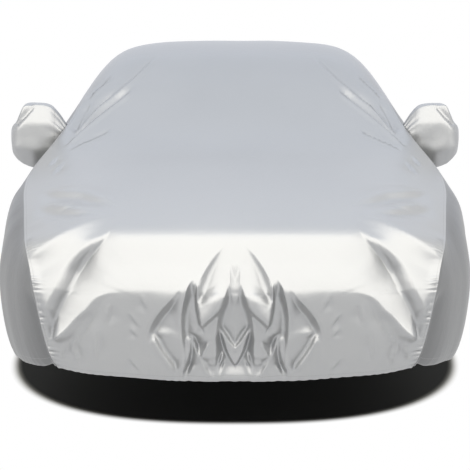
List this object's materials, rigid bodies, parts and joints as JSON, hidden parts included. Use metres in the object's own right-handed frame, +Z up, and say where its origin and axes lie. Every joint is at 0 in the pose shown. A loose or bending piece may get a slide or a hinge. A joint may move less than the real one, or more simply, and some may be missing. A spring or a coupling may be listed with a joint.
{
  "type": "car cover",
  "caption": "Fitted full car cover in silver coated cloth, hollow underneath, with a sewn pocket over each door mirror.",
  "frame": {"origin": "underside of the roof, on the centre line, where the cover rests on the car's roof", "axes": "+Y back along the car, with the front of the cover facing -Y; +X across, to the right as seen from in front, and node names use left and right in that sense; +Z up"},
  "size_m": [1.976, 4.4254, 1.1846],
  "materials": {
    "silver_cloth": "silver-coated polyester, softly shining"
  },
  "bodies": {
    "root": {"top_panel": "silver_cloth", "side_panel_left": "silver_cloth", "side_panel_right": "silver_cloth", "mirror_pocket_left": "silver_cloth", "mirror_pocket_right": "silver_cloth"}
  },
  "joints": []
}
